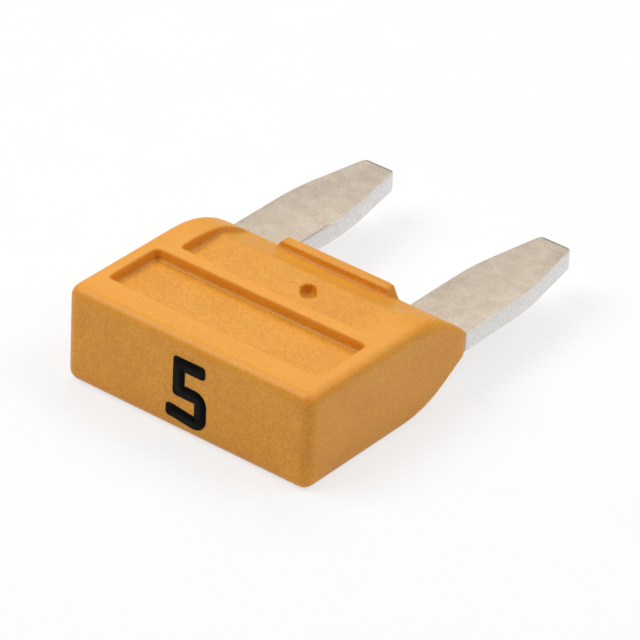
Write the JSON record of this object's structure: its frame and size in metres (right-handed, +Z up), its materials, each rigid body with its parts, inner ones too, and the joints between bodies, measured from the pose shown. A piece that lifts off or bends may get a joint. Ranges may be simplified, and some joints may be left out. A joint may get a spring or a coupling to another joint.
{
  "type": "automotive blade fuse",
  "caption": "Small plug-in blade fuse: an orange moulded housing with recessed panels and a taper, on a flat zinc element whose parallel blades stand out of one end.",
  "frame": {"origin": "under the middle of the whole fuse, on the surface that it lies on", "axes": "+X across the fuse from blade to blade, +Y along the blades towards their tips, +Z up from the lower wide face"},
  "size_m": [0.011, 0.0164, 0.0039],
  "materials": {
    "housing": "satin moulded",
    "element": "dull stamped zinc"
  },
  "bodies": {
    "root": {"housing": "housing", "fuse_element": "element"}
  },
  "joints": []
}
